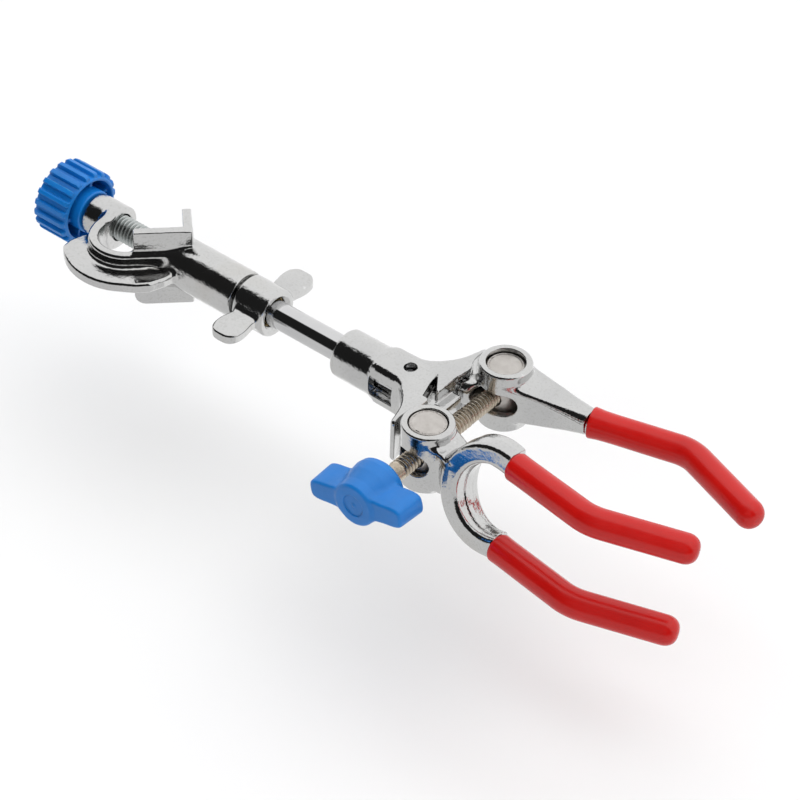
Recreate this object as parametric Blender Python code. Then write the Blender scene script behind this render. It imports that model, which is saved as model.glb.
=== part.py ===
"""Three-finger extension clamp with a swivel boss head, for a laboratory retort stand.

Frame: the origin is on the axis of the 12 mm upright rod that the V block grips, at the clamp's mid
height.  +X runs along the clamp's arm to the fingertips, +Z along the upright rod, and +Y towards the
single finger.  Dimensions are in millimetres and are turned into metres when a mesh is made.
"""
import math

import bmesh
import bpy
from mathutils import Matrix, Vector

MM = 0.001
GAP = 0.3                     # room left between pieces that touch

# --- boss head ------------------------------------------------------------------------------------
UPRIGHT_R = 6.0               # the upright rod that the V block is drawn for
V_WALL = 2.8
V_HALF_HEIGHT = 13.0
V_LEG_HOOK = 17.2             # outer length of the leg on the hook's side
V_LEG_FREE = 11.4
V_INNER_APEX = UPRIGHT_R * math.sqrt(2)
V_OUTER_APEX = V_INNER_APEX + V_WALL * math.sqrt(2)
TUBE_R = 7.5
TUBE_FRONT = 32.2
NECK_R = 5.6
NECK_FRONT = 39.6
BORE_R = 4.35
CHAMBER_R = 5.4               # wider inside the tube, where the stop ring travels
CHAMBER = (16.0, 30.2)
HOOK_CENTRE = (-8.0, -6.5)
HOOK_INNER_R = 8.0
HOOK_OUTER_R = 11.0
HOOK_HALF_HEIGHT = 5.8
FLANGE_R = 18.4
FLANGE_HALF_HEIGHT = 1.7
SCREW_BOSS_R = 6.4
SCREW_BOSS = (-26.2, -15.9)

# --- boss screw, its knob and its pad -------------------------------------------------------------
BOSS_SCREW_R = 3.9
BOSS_SCREW = (-37.6, -5.8)
SCREW_STUB_R = 1.5
PAD_R = 4.4
PAD = (-5.4, -3.0)
KNOB_RIBS = 20
KNOB_RIB_R = 11.6
KNOB_VALLEY_R = 10.6
KNOB = (-41.0, -28.5)
KNOB_HOLLOW_R = 9.1
KNOB_HOLLOW_DEPTH = 8.5
KNOB_HUB_R = 7.1
KNOB_HUB_FRONT = -26.8

# --- rod, collet and wing nut ---------------------------------------------------------------------
ROD_R = 4.0
ROD = (16.6, 96.6)
ROD_GROOVE_R = 3.4
STOP_RING = (18.6, 20.0)
STOP_RING_R = (3.75, 5.05)
COLLET = (40.6, 42.3)
COLLET_R = (4.3, 5.3)
NUT = (33.1, 44.3)
NUT_R = 7.33
NUT_THREAD_R = 5.95
NUT_STEP = 42.6               # inner face that pushes the collet
WING_TIP = 18.6
WING_LOBE_R = 4.9
WING_HALF_THICKNESS = 1.6

# --- clamp head -----------------------------------------------------------------------------------
HUB_X = 113.0                 # both finger hubs stand at this X
HUB_Y = 16.9
SOCKET_R = 7.3
SOCKET_BACK = 69.4
YOKE_HALF_HEIGHT = 7.2
YOKE_WALL_HALF_HEIGHT = 4.9   # the yoke is widest below this height and narrows above it
YOKE_FRONT = HUB_X - 8.0
ARM_WRAP_R = 9.3              # hollow of the arm behind each hub
PIVOT_X = HUB_X - 8.8         # the pins that the fingers' tails ride on
PIVOT_Y = 9.3
PIVOT_R = 1.3
POCKET_HALF_WIDTH = 4.0
POCKET_BACK = PIVOT_X - 5.9
POCKET_HALF_HEIGHT = 4.6
TONGUE_FRONT = HUB_X - 4.6
TONGUE_HALF_HEIGHT = 3.3
NOTCH_BACK = HUB_X - 12.7
WINDOW = (83.6, 92.0)
WINDOW_HALF_HEIGHT = 3.2
ROD_PIN_X = HUB_X - 20.0
ROD_PIN_HOLE_R = 1.85
ROD_PIN_R = 1.5

# --- fingers --------------------------------------------------------------------------------------
HUB_R = 7.53
HUB_TOP = 10.1
HUB_BOTTOM = -9.6
NUT_HOLE_R = 5.6
BARREL_R = 5.3
SCREW_SLOT_BACK = -5.3        # the slot that the screw passes, along X from the hub's axis
SCREW_SLOT_FRONT = {1: 7.6, -1: 5.2}
SCREW_SLOT_HALF_HEIGHT = 3.5
TAIL_HALF_HEIGHT = 4.0
TAIL_HALF_WIDTH = 2.6
KNUCKLE_HALF = (4.05, 3.15)   # half length and half width of the tail's end
KNUCKLE_SLOT_HALF = (2.95, 1.65)
PRONG_R = 3.1
SLEEVE_R = 4.25
SLEEVE_BORE_R = PRONG_R + GAP
FORK_HALF_SPAN = 12.9         # from the fork's middle to each prong
FORK_TWIST_DEG = 13.0         # the fork is cast with this twist about the finger's length
FORK_CENTRE = (139.4, -20.5, 0.7)  # the middle of the fork's C
FORK_REACH = 13.2             # from there back to the C's middle line
FORK_BULGE = 13.7             # from there up and down to it
FORK_SWEEP_DEG = 103.0        # how far each arm of the C comes around
BEND_R = 12.0
SINGLE_PATH = ((138.0, 21.2), (167.6, 29.3), (193.4, 20.0))
DOUBLE_PATH = ((143.6, -20.9), (171.8, -26.0), (195.2, -15.7))

# --- finger screw and its wing knob ---------------------------------------------------------------
FINGER_SCREW_X = HUB_X - 0.6
FINGER_SCREW_R = 2.9
FINGER_SCREW = (-45.0, 25.5)
WING_KNOB_TILT_DEG = 12.0     # how the knob stands at rest, about its own axis
WING_KNOB_PLATE = (-47.0, -37.0)

SEGMENTS = 32


# ------------------------------------------------------------------------------- scene and materials
def clear_scene():
    for item in list(bpy.data.objects):
        bpy.data.objects.remove(item, do_unlink=True)


def material(name, color, metallic, roughness):
    made = bpy.data.materials.new(name)
    made.use_nodes = True
    shader = made.node_tree.nodes["Principled BSDF"]
    shader.inputs["Base Color"].default_value = (*color, 1.0)
    shader.inputs["Metallic"].default_value = metallic
    shader.inputs["Roughness"].default_value = roughness
    return made


CHROME = ((0.80, 0.80, 0.80), 1.0, 0.12)
ZINC = ((0.55, 0.58, 0.58), 1.0, 0.35)
NICKEL = ((0.68, 0.60, 0.50), 1.0, 0.30)
STEEL = ((0.60, 0.60, 0.62), 1.0, 0.35)
BRASS = ((0.75, 0.60, 0.30), 1.0, 0.35)
BLUE = ((0.010, 0.13, 0.47), 0.0, 0.35)
RED = ((0.58, 0.010, 0.012), 0.0, 0.25)


# ----------------------------------------------------------------------------------- making of shapes
def solid(name, shape, origin=(0.0, 0.0, 0.0)):
    """An object from a bmesh in millimetres, with its origin at the given place."""
    bmesh.ops.recalc_face_normals(shape, faces=shape.faces)
    bmesh.ops.translate(shape, vec=-Vector(origin), verts=shape.verts)
    bmesh.ops.scale(shape, vec=(MM, MM, MM), verts=shape.verts)
    mesh = bpy.data.meshes.new(name)
    shape.to_mesh(mesh)
    shape.free()
    made = bpy.data.objects.new(name, mesh)
    made.location = Vector(origin) * MM
    bpy.context.scene.collection.objects.link(made)
    return made


def node(name, shape, look, origin=(0.0, 0.0, 0.0)):
    """One piece of the object; a moving piece's origin is on its joint's axis."""
    made = solid(name, shape, origin)
    made.data.materials.append(material(name, *look))
    made.data.shade_smooth()
    made.data.set_sharp_from_angle(angle=math.radians(35))
    return made


def carve(target, shape, operation="DIFFERENCE"):
    """Joins a tool shape to the target, or cuts it away."""
    number = len(target.modifiers)
    tool = solid(f"{target.name}_tool_{number}", shape)
    tool.hide_render = True
    tool.display_type = "WIRE"
    modifier = target.modifiers.new(f"step_{number}", "BOOLEAN")
    modifier.operation = operation
    modifier.solver = "EXACT"
    modifier.object = tool


def prism(outline, low, high):
    """A plan outline (X, Y) extruded in Z from low to high."""
    shape = bmesh.new()
    bottom = [shape.verts.new((x, y, low)) for x, y in outline]
    top = [shape.verts.new((x, y, high)) for x, y in outline]
    shape.faces.new(list(reversed(bottom)))
    shape.faces.new(top)
    for i in range(len(outline)):
        j = (i + 1) % len(outline)
        shape.faces.new((bottom[i], bottom[j], top[j], top[i]))
    return shape


def box(low, high):
    return prism(((low[0], low[1]), (high[0], low[1]), (high[0], high[1]), (low[0], high[1])), low[2], high[2])


def turned(profile, centre=(0.0, 0.0, 0.0), axis="X", segments=SEGMENTS):
    """Turns a profile of (place along the axis, radius) points; it starts and ends on the axis."""
    shape = bmesh.new()
    rings = []
    for place, radius in profile:
        if radius < 1e-6:
            rings.append([shape.verts.new((place, 0.0, 0.0))])
            continue
        angles = [2 * math.pi * (i + 0.5) / segments for i in range(segments)]
        ring = [(place, radius * math.cos(a), radius * math.sin(a)) for a in angles]
        rings.append([shape.verts.new(point) for point in ring])
    bridge(shape, rings)
    turn = {"X": Matrix.Identity(4), "Y": Matrix.Rotation(math.pi / 2, 4, "Z"),
            "Z": Matrix.Rotation(-math.pi / 2, 4, "Y")}[axis]
    bmesh.ops.transform(shape, matrix=Matrix.Translation(centre) @ turn, verts=shape.verts)
    return shape


def bridge(shape, rings):
    """Skins a row of rings; a ring of one vertex is a pole, and open ends are capped."""
    for first, second in zip(rings, rings[1:]):
        count = max(len(first), len(second))
        for i in range(count):
            j = (i + 1) % count
            lower = [first[i % len(first)], first[j % len(first)]]
            upper = [second[j % len(second)], second[i % len(second)]]
            shape.faces.new(list(dict.fromkeys(lower + upper)))
    for end in (rings[0], rings[-1]):
        if len(end) > 1:
            shape.faces.new(end)


def cylinder(low, high, radius, centre=(0.0, 0.0, 0.0), axis="X", segments=SEGMENTS):
    return turned(((low, radius), (high, radius)), centre, axis, segments)


def ring_solid(low, high, inner, outer, segments=SEGMENTS):
    """A ring around the X axis."""
    shape = bmesh.new()
    corners = ((low, outer), (high, outer), (high, inner), (low, inner))
    loops = []
    for place, radius in corners:
        angles = [2 * math.pi * (i + 0.5) / segments for i in range(segments)]
        loops.append([shape.verts.new((place, radius * math.cos(a), radius * math.sin(a))) for a in angles])
    for first, second in zip(loops, loops[1:] + loops[:1]):
        for i in range(segments):
            j = (i + 1) % segments
            shape.faces.new((first[i], first[j], second[j], second[i]))
    return shape


def arc(centre, radius, start_deg, end_deg, count):
    """Points on an arc in plan, both ends included."""
    points = []
    for i in range(count + 1):
        angle = math.radians(start_deg + (end_deg - start_deg) * i / count)
        points.append((centre[0] + radius * math.cos(angle), centre[1] + radius * math.sin(angle)))
    return points


def loft(sections, segments=16, side=None):
    """Skins rounded sections; each is (centre, tangent, half width, half height, squareness).

    The width runs along side, or across the tangent in plan where no side is given.
    """
    shape = bmesh.new()
    rings = []
    for centre, tangent, half_width, half_height, squareness in sections:
        forward = Vector(tangent).normalized()
        across_plan = Vector((0.0, 0.0, 1.0)).cross(forward)
        side_now = (Vector(side) if side else across_plan).normalized()
        up = forward.cross(side_now).normalized()
        ring = []
        for i in range(segments):
            angle = 2 * math.pi * (i + 0.5) / segments
            across = math.copysign(abs(math.cos(angle)) ** squareness, math.cos(angle))
            rise = math.copysign(abs(math.sin(angle)) ** squareness, math.sin(angle))
            place = Vector(centre) + side_now * half_width * across + up * half_height * rise
            ring.append(shape.verts.new(place))
        rings.append(ring)
    bridge(shape, rings)
    return shape


def smooth_path(points, bend_radius, steps=6):
    """Rounds the corners of a polyline with arcs of the given radius."""
    points = [Vector(p) for p in points]
    out = [points[0]]
    for before, corner, after in zip(points, points[1:], points[2:]):
        to_before = (before - corner).normalized()
        to_after = (after - corner).normalized()
        half = to_before.angle(to_after) / 2
        reach = bend_radius / math.tan(half)
        middle = corner + (to_before + to_after).normalized() * (bend_radius / math.sin(half))
        start = corner + to_before * reach - middle
        end = corner + to_after * reach - middle
        for i in range(steps + 1):
            turn = start.lerp(end, i / steps).normalized() * bend_radius
            out.append(middle + turn)
    out.append(points[-1])
    return out


def swept(path, radii, segments=16, round_end=False):
    """A round bar along a path, with a radius for each point, closed by a dome if round_end."""
    sections = []
    for i, point in enumerate(path):
        tangent = path[min(i + 1, len(path) - 1)] - path[max(i - 1, 0)]
        sections.append((point, tangent, radii[i], radii[i], 1.0))
    if round_end:
        forward = (path[-1] - path[-2]).normalized()
        for step in (30, 60, 80):
            angle = math.radians(step)
            place = path[-1] + forward * radii[-1] * math.sin(angle)
            size = radii[-1] * math.cos(angle)
            sections.append((place, forward, size, size, 1.0))
    return loft(sections, segments)


def mirrored(outline):
    """Adds the other half, across Y = 0, of an outline that runs from the back to the front."""
    return outline + [(x, -y) for x, y in reversed(outline)]


def stadium(centre, half_length, half_width, steps=8):
    """An outline with round ends, long in X."""
    reach = half_length - half_width
    front = arc((centre[0] + reach, centre[1]), half_width, -90, 90, steps)
    back = arc((centre[0] - reach, centre[1]), half_width, 90, 270, steps)
    return front + back


# ------------------------------------------------------------------------------------ the boss head
def v_outline():
    """The V block in plan: two legs at right angles that open towards -X."""
    slope = math.sqrt(0.5)
    hook = V_LEG_HOOK * slope
    free = V_LEG_FREE * slope
    wall = V_WALL * slope
    return (
        (V_OUTER_APEX, 0.0),
        (V_OUTER_APEX - free, free),
        (V_OUTER_APEX - free - wall, free - wall),
        (V_INNER_APEX, 0.0),
        (V_OUTER_APEX - hook - wall, wall - hook),
        (V_OUTER_APEX - hook, -hook),
    )


def hook_outline():
    """The hook's wall in plan: from the screw boss around to the V block and on to the tube."""
    run = 13.0 * math.sqrt(0.5)
    outer = arc(HOOK_CENTRE, HOOK_OUTER_R, 180, 315, 12)
    inner = arc(HOOK_CENTRE, HOOK_INNER_R, 315, 180, 12)
    outer_end = (outer[-1][0] + run, outer[-1][1] + run)
    inner_end = (inner[0][0] + run, inner[0][1] + run)
    boss_side = -2.0
    start = [(outer[0][0], boss_side)]
    close = [(inner[-1][0] - 0.1, boss_side)]
    return start + outer + [outer_end, inner_end] + inner + close


def flange_outline():
    """The thin flange around the outside of the hook, at mid height."""
    shoulder = [(-18.6, -4.0), (-19.4, -8.2), (-21.2, -12.0), (-22.1, -15.6)]
    rim = arc(HOOK_CENTRE, FLANGE_R, 222, 300, 12)
    to_tube = [(6.6, -18.8), (9.6, -15.6), (11.3, -11.0), (12.2, -5.5)]
    inside = arc(HOOK_CENTRE, 9.4, 315, 195, 10)
    return shoulder + rim + to_tube + inside


def boss_head():
    tube = ((3.0, TUBE_R), (TUBE_FRONT - 0.5, TUBE_R), (TUBE_FRONT, TUBE_R - 0.5), (TUBE_FRONT, NECK_R),
            (NECK_FRONT, NECK_R))
    body = node("boss_head", turned(tube), CHROME)
    groove = V_INNER_APEX + 0.7
    carve(body, prism(((groove, 0.0), (groove - 30.0, 30.0), (groove - 30.0, -30.0)), -20.0, 20.0))
    carve(body, prism(v_outline(), -V_HALF_HEIGHT, V_HALF_HEIGHT), "UNION")
    carve(body, prism(hook_outline(), -HOOK_HALF_HEIGHT, HOOK_HALF_HEIGHT), "UNION")
    carve(body, prism(flange_outline(), -FLANGE_HALF_HEIGHT, FLANGE_HALF_HEIGHT), "UNION")
    carve(body, cylinder(*SCREW_BOSS, SCREW_BOSS_R), "UNION")
    carve(body, cylinder(SCREW_BOSS[0] - 5.0, SCREW_BOSS[1] + 5.0, BOSS_SCREW_R + GAP))
    bore = ((CHAMBER[0], CHAMBER_R), (CHAMBER[1], CHAMBER_R), (CHAMBER[1], BORE_R), (NECK_FRONT + 1.0, BORE_R))
    carve(body, turned(bore))


def boss_screw():
    """The screw, with a stub that its pad turns on."""
    stub_end = PAD[1] - 1.0
    profile = ((BOSS_SCREW[0], BOSS_SCREW_R), (BOSS_SCREW[1] - 0.6, BOSS_SCREW_R),
               (BOSS_SCREW[1], BOSS_SCREW_R - 0.6), (BOSS_SCREW[1], SCREW_STUB_R), (stub_end, SCREW_STUB_R))
    node("boss_screw", turned(profile, segments=24), ZINC)


def screw_pad():
    pad = node("screw_pad", cylinder(*PAD, PAD_R), STEEL)
    carve(pad, cylinder(PAD[0] - 1.0, PAD[1] - 0.7, SCREW_STUB_R + GAP, segments=16))


def boss_knob():
    """A fluted knob, hollow at the front, whose hub stands on thin radial webs."""
    shape = bmesh.new()
    steps = (0.0, 0.7, 1.0, 0.7)
    rings = []
    for place, size in ((KNOB[0], 0.92), (KNOB[0] + 1.2, 1.0), (KNOB[1] - 1.0, 1.0), (KNOB[1], 0.94)):
        ring = []
        for i in range(KNOB_RIBS * len(steps)):
            angle = 2 * math.pi * i / (KNOB_RIBS * len(steps))
            rise = steps[i % len(steps)]
            radius = size * (KNOB_VALLEY_R + (KNOB_RIB_R - KNOB_VALLEY_R) * rise)
            ring.append(shape.verts.new((place, radius * math.cos(angle), radius * math.sin(angle))))
        rings.append(ring)
    bridge(shape, rings)
    knob = node("boss_knob", shape, BLUE)
    floor = KNOB[1] - KNOB_HOLLOW_DEPTH
    carve(knob, cylinder(floor, KNOB[1] + 5.0, KNOB_HOLLOW_R))
    carve(knob, cylinder(floor - 1.0, KNOB_HUB_FRONT, KNOB_HUB_R), "UNION")
    for i in range(3):
        web = box((floor - 0.5, -KNOB_HOLLOW_R - 0.3, -0.5), (KNOB[1] - 2.0, KNOB_HOLLOW_R + 0.3, 0.5))
        turn = Matrix.Rotation(math.radians(60 * i + 8), 4, "X")
        bmesh.ops.transform(web, matrix=turn, verts=web.verts)
        carve(knob, web, "UNION")
    carve(knob, cylinder(BOSS_SCREW[0] - GAP, KNOB_HUB_FRONT + 5.0, BOSS_SCREW_R + GAP, segments=24))


# -------------------------------------------------------------------------- rod, collet and wing nut
def rod():
    ring_room = (STOP_RING[0] - GAP, STOP_RING[1] + GAP)
    profile = ((ROD[0], ROD_R), (ring_room[0], ROD_R), (ring_room[0], ROD_GROOVE_R),
               (ring_room[1], ROD_GROOVE_R), (ring_room[1], ROD_R), (ROD[1], ROD_R))
    bar = node("rod", turned(profile, segments=24), CHROME)
    carve(bar, cylinder(-6.0, 6.0, ROD_PIN_R + GAP, (ROD_PIN_X, 0.0, 0.0), "Z", 16))


def rod_stop_ring():
    node("rod_stop_ring", ring_solid(*STOP_RING, *STOP_RING_R), STEEL)


def collet():
    node("collet", ring_solid(*COLLET, *COLLET_R), BRASS)


def wing_nut():
    """A collar with two flat wings; its front wall pushes the collet onto the rod."""
    outer = ((NUT[0], NUT_R - 0.5), (NUT[0] + 0.5, NUT_R), (NUT[1] - 0.5, NUT_R), (NUT[1], NUT_R - 0.5))
    nut = node("wing_nut", turned(outer), CHROME)
    middle = (NUT[0] + NUT[1]) / 2 + 0.2
    lobe = arc((middle, WING_TIP - WING_LOBE_R), WING_LOBE_R, 0, 180, 10)
    half = [(middle + 3.7, 0.0), (middle + 4.2, 8.6)] + lobe + [(middle - 3.8, 8.6), (middle - 3.8, 0.0)]
    outline = half + [(2 * middle - x, -y) for x, y in half[1:-1]]
    carve(nut, prism(outline, -WING_HALF_THICKNESS, WING_HALF_THICKNESS), "UNION")
    bore = ((NUT[0] - 1.0, NUT_THREAD_R), (NUT_STEP, NUT_THREAD_R), (NUT_STEP, BORE_R), (NUT[1] + 1.0, BORE_R))
    carve(nut, turned(bore))


# -------------------------------------------------------------------------------------- clamp head
def yoke_outline(flare, tip_deg):
    """The Y-shaped yoke in plan: it flares from the socket to an arm behind each finger hub."""
    wrap = arc((HUB_X, HUB_Y), ARM_WRAP_R, tip_deg, 210.7, 8)
    half = [(x + HUB_X, y) for x, y in flare] + wrap + [(YOKE_FRONT, 4.0)]
    return list(reversed(mirrored(half)))


def clamp_head():
    socket = ((SOCKET_BACK, SOCKET_R - 1.2), (SOCKET_BACK + 0.4, SOCKET_R - 0.4),
              (SOCKET_BACK + 1.2, SOCKET_R), (HUB_X - 15.0, SOCKET_R))
    head = node("clamp_head", turned(socket), CHROME)
    top = ((-29.0, 3.6), (-17.0, 4.0), (-13.8, 6.4), (-11.6, 10.2), (-10.6, 14.0), (-10.0, 17.0))
    wall = ((-29.0, 6.2), (-19.6, 6.4), (-15.6, 9.2), (-12.6, 12.8), (-11.2, 17.0), (-10.2, 20.0))
    carve(head, prism(yoke_outline(top, 178), -YOKE_HALF_HEIGHT, YOKE_HALF_HEIGHT), "UNION")
    wall_height = YOKE_WALL_HALF_HEIGHT
    carve(head, prism(yoke_outline(wall, 164), -wall_height, wall_height), "UNION")
    tongue_half = TONGUE_HALF_HEIGHT - 0.1
    carve(head, box((YOKE_FRONT - 6.0, -4.0, -tongue_half), (TONGUE_FRONT, 4.0, tongue_half)), "UNION")
    notch = ((NOTCH_BACK, 2.8), (NOTCH_BACK + 0.7, -1.1), (NOTCH_BACK + 2.5, -6.5), (YOKE_FRONT + 5.0, -6.6),
             (YOKE_FRONT + 5.0, -2.8), (NOTCH_BACK + 4.0, -2.8))
    carve(head, prism(notch, TONGUE_HALF_HEIGHT, 12.0))
    for way in (1, -1):
        room = stadium((POCKET_BACK + 12.0, way * PIVOT_Y), 12.0, POCKET_HALF_WIDTH)
        carve(head, prism(room, -POCKET_HALF_HEIGHT, POCKET_HALF_HEIGHT))
        carve(head, cylinder(-12.0, 6.0, PIVOT_R + GAP, (PIVOT_X, way * PIVOT_Y, 0.0), "Z", 16))
        side = sorted((way * 3.2, way * 14.0))
        window = box((WINDOW[0], side[0], -WINDOW_HALF_HEIGHT), (WINDOW[1], side[1], WINDOW_HALF_HEIGHT))
        carve(head, window)
    carve(head, cylinder(SOCKET_BACK - 5.0, ROD[1] + GAP, ROD_R + GAP, segments=24))
    carve(head, cylinder(-12.0, 12.0, ROD_PIN_HOLE_R, (ROD_PIN_X, 0.0, 0.0), "Z", 16))


def pins():
    node("rod_pin", cylinder(-5.6, 5.6, ROD_PIN_R, (ROD_PIN_X, 0.0, 0.0), "Z", 16), STEEL)
    for name, way in (("pivot_pin_single", 1), ("pivot_pin_double", -1)):
        pin = cylinder(-6.8, 5.7, PIVOT_R, (PIVOT_X, way * PIVOT_Y, 0.0), "Z", 16)
        node(name, pin, STEEL)


# ------------------------------------------------------------------------------------------- fingers
def finger_hub(name, way):
    """The hub and the tail of a finger; way is 1 for the single finger and -1 for the fork."""
    centre = (HUB_X, way * HUB_Y, 0.0)
    finger = node(name, cylinder(HUB_BOTTOM, HUB_TOP, HUB_R, centre, "Z"), CHROME, centre)
    knuckle = stadium((PIVOT_X, way * PIVOT_Y), *KNUCKLE_HALF)
    carve(finger, prism(knuckle, -TAIL_HALF_HEIGHT, TAIL_HALF_HEIGHT), "UNION")
    pivot = Vector((PIVOT_X, way * PIVOT_Y))
    hub = Vector((HUB_X, way * HUB_Y))
    along = (hub - pivot).normalized()
    across = Vector((-along.y, along.x)) * TAIL_HALF_WIDTH
    start = pivot + along * 2.0
    end = hub - along * 3.0
    neck = (start - across, end - across, end + across, start + across)
    low = 0.1 - TAIL_HALF_HEIGHT
    carve(finger, prism([tuple(point) for point in neck], low, -low), "UNION")
    return finger


def cut_hub(finger, way):
    """The barrel nut's hole, the slot that the screw passes and the slot that the pin rides in."""
    carve(finger, cylinder(HUB_BOTTOM - 2.0, HUB_TOP + 2.0, NUT_HOLE_R, (HUB_X, way * HUB_Y, 0.0), "Z"))
    low = (HUB_X + SCREW_SLOT_BACK, way * HUB_Y - 12.0, -SCREW_SLOT_HALF_HEIGHT)
    high = (HUB_X + SCREW_SLOT_FRONT[way], way * HUB_Y + 12.0, SCREW_SLOT_HALF_HEIGHT)
    carve(finger, box(low, high))
    pin_slot = stadium((PIVOT_X, way * PIVOT_Y), *KNUCKLE_SLOT_HALF)
    carve(finger, prism(pin_slot, -8.0, 8.0))


def prong_path(points, height):
    return smooth_path([(x, y, height) for x, y in points], BEND_R)


def finger_single():
    """One prong: a web tapers from the hub to the round bar under the sleeve."""
    finger = finger_hub("finger_single", 1)
    forward = (1.0, 0.12, 0.0)
    web = (
        ((HUB_X + 1.0, 17.4, 0.0), (1, 0, 0), 6.9, 7.0, 0.3),
        ((HUB_X + 4.0, 17.8, 0.0), forward, 6.6, 6.9, 0.3),
        ((HUB_X + 13.0, 19.4, 0.0), forward, 4.9, 5.6, 0.45),
        ((HUB_X + 20.0, 20.3, 0.0), forward, 4.0, 4.4, 0.7),
        ((HUB_X + 24.6, 21.1, 0.0), (1.0, 0.2, 0.0), 3.6, 3.6, 1.0),
    )
    carve(finger, loft(web), "UNION")
    path = prong_path(SINGLE_PATH, 0.0)
    path.insert(0, path[0] - (path[1] - path[0]).normalized() * 4.0)
    carve(finger, swept(path, [PRONG_R] * len(path), round_end=True), "UNION")
    cut_hub(finger, 1)


def twist_fork(shape):
    """Turns part of the fork about its own middle line, which runs along X."""
    middle = Matrix.Translation((0.0, FORK_CENTRE[1], 0.0))
    turn = Matrix.Rotation(-math.radians(FORK_TWIST_DEG), 4, "X")
    bmesh.ops.transform(shape, matrix=middle @ turn @ middle.inverted(), verts=shape.verts)
    return shape


def fork_loop():
    """The C that joins the two prongs, in the plane of X and Z before its twist."""
    sections = []
    steps = 16
    for i in range(steps + 1):
        angle = math.radians(FORK_SWEEP_DEG) * (2 * i / steps - 1)
        across, rise = math.cos(angle), math.sin(angle)
        place = Vector(FORK_CENTRE) + Vector((-FORK_REACH * across, 0.0, FORK_BULGE * rise))
        tangent = (FORK_REACH * rise, 0.0, FORK_BULGE * across)
        bulk = (1.0 + across) / 2
        sections.append((place, tangent, 3.2 + 1.0 * bulk, 2.7 + 0.3 * bulk, 0.6))
    return twist_fork(loft(sections, side=(0.0, 1.0, 0.0)))


def finger_double():
    """Two prongs, one above the other, on a C-shaped fork."""
    finger = finger_hub("finger_double", -1)
    web = (
        ((HUB_X + 1.0, -17.0, 0.0), (1, 0, 0), 6.6, 7.0, 0.3),
        ((HUB_X + 6.0, -17.0, 0.0), (1, 0, 0), 5.6, 6.9, 0.3),
        ((HUB_X + 11.0, -17.8, 0.0), (1, -0.2, 0), 5.0, 6.7, 0.35),
        ((HUB_X + 14.5, -20.0, 0.0), (1, -0.2, 0), 3.6, 6.2, 0.5),
    )
    carve(finger, loft(web), "UNION")
    carve(finger, fork_loop(), "UNION")
    for height in (FORK_HALF_SPAN, -FORK_HALF_SPAN):
        path = prong_path(DOUBLE_PATH, height)
        path.insert(0, Vector((FORK_CENTRE[0] + 1.6, FORK_CENTRE[1], height)))
        prong = swept(path, [PRONG_R] * len(path), round_end=True)
        carve(finger, twist_fork(prong), "UNION")
    cut_hub(finger, -1)


def sleeve(name, points, height, way):
    """A closed vinyl sleeve over a prong."""
    path = prong_path(points, height)
    outer = swept(path, [SLEEVE_R] * len(path), round_end=True)
    path[0] = path[0] - (path[1] - path[0]).normalized() * 2.0
    inner = swept(path, [SLEEVE_BORE_R] * len(path), round_end=True)
    if height:
        twist_fork(outer)
        twist_fork(inner)
    carve(node(name, outer, RED, (HUB_X, way * HUB_Y, 0.0)), inner)


def barrel_nut(name, way, top):
    """A cylindrical nut that stands in the finger's hub, with the screw's thread across it."""
    centre = (HUB_X, way * HUB_Y, 0.0)
    nut = node(name, cylinder(HUB_BOTTOM + 0.4, top, BARREL_R, centre, "Z"), NICKEL, centre)
    carve(nut, cylinder(-30.0, 30.0, FINGER_SCREW_R + GAP, (FINGER_SCREW_X, 0.0, 0.0), "Y", 24))


# ---------------------------------------------------------------------------- finger screw and knob
def finger_screw():
    profile = ((FINGER_SCREW[0], FINGER_SCREW_R), (FINGER_SCREW[1] - 0.6, FINGER_SCREW_R),
               (FINGER_SCREW[1], FINGER_SCREW_R - 0.6))
    centre = (FINGER_SCREW_X, 0.0, 0.0)
    node("finger_screw", turned(profile, centre, "Y", 24), NICKEL, centre)


def wing_knob():
    """A wing knob on the -Y end of the finger screw."""
    boss = ((-47.5, 6.1), (-47.0, 6.6), (-44.0, 7.0), (-40.0, 8.2), (-36.6, 8.4), (-34.7, 7.4), (-34.0, 6.0))
    centre = (FINGER_SCREW_X, 0.0, 0.0)
    knob = node("wing_knob", turned(boss, centre, "Y"), BLUE, centre)
    top = [(16.3, 0.8), (15.3, 2.2), (13.4, 3.0), (5.0, 4.1), (-5.0, 4.1), (-13.4, 3.0), (-15.3, 2.2),
           (-16.3, 0.8)]
    outline = top + [(-x, -y) for x, y in top]
    plate = prism(outline, *WING_KNOB_PLATE)
    stand = Matrix.Rotation(math.pi / 2, 4, "X") @ Matrix.Scale(-1, 4, (0, 0, 1))
    tilt = Matrix.Rotation(-math.radians(WING_KNOB_TILT_DEG), 4, "Y")
    shift = Matrix.Translation(centre)
    bmesh.ops.transform(plate, matrix=shift @ tilt @ stand, verts=plate.verts)
    carve(knob, plate, "UNION")
    carve(knob, cylinder(FINGER_SCREW[0] - GAP, -30.0, FINGER_SCREW_R + GAP, centre, "Y", 24))


def main():
    clear_scene()
    boss_head()
    boss_screw()
    screw_pad()
    boss_knob()
    rod()
    rod_stop_ring()
    collet()
    wing_nut()
    clamp_head()
    pins()
    finger_single()
    finger_double()
    sleeve("sleeve_single", SINGLE_PATH, 0.0, 1)
    sleeve("sleeve_upper", DOUBLE_PATH, FORK_HALF_SPAN, -1)
    sleeve("sleeve_lower", DOUBLE_PATH, -FORK_HALF_SPAN, -1)
    barrel_nut("nut_single", 1, HUB_TOP - 1.3)
    barrel_nut("nut_double", -1, HUB_TOP - 0.3)
    finger_screw()
    wing_knob()


main()
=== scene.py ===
"""Looks for the three-finger extension clamp.

The castings and the plastic knobs are skinned from signed distance fields in millimetres, so their
fillets and soft edges are real surface. Threads, sleeves and turned pieces are swept meshes.
"""

import math

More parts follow.
